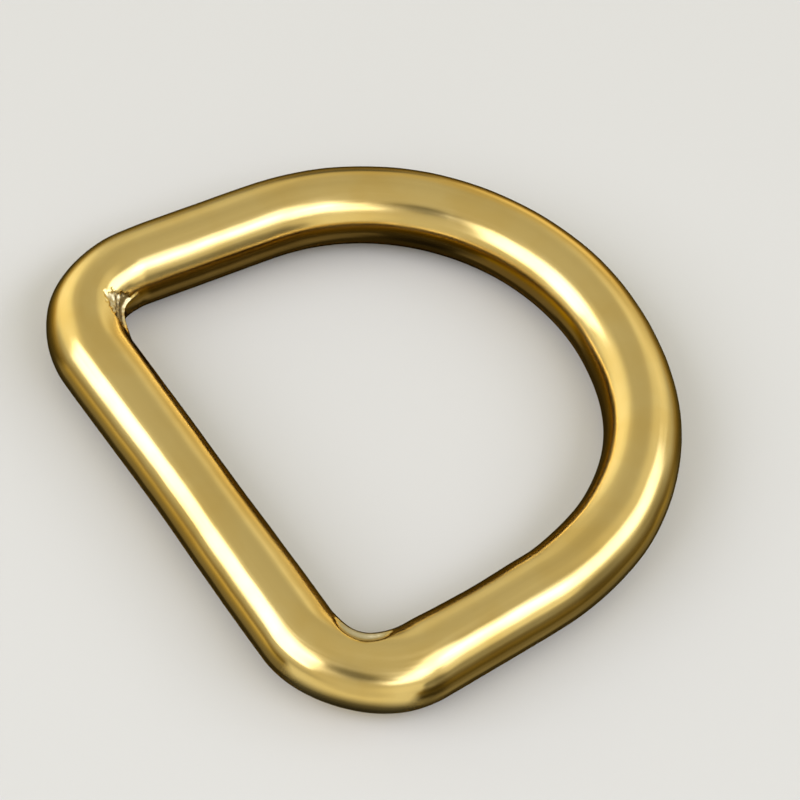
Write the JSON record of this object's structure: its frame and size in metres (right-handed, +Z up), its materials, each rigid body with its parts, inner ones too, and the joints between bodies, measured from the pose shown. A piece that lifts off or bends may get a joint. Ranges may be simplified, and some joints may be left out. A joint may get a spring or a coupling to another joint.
{
  "type": "d ring",
  "caption": "Closed cast brass D ring: a straight bar for a strap, short arms that lean in, and a round bow.",
  "frame": {"origin": "under the middle of the ring, on the plane that it rests on", "axes": "+X along the straight bar, +Y from the bar towards the bow, +Z up off the plane that the ring lies on"},
  "size_m": [0.034, 0.0308, 0.0043],
  "materials": {
    "brass": "tumble polished cast brass, softly glossy"
  },
  "bodies": {
    "root": {"d_ring": "brass"}
  },
  "joints": []
}
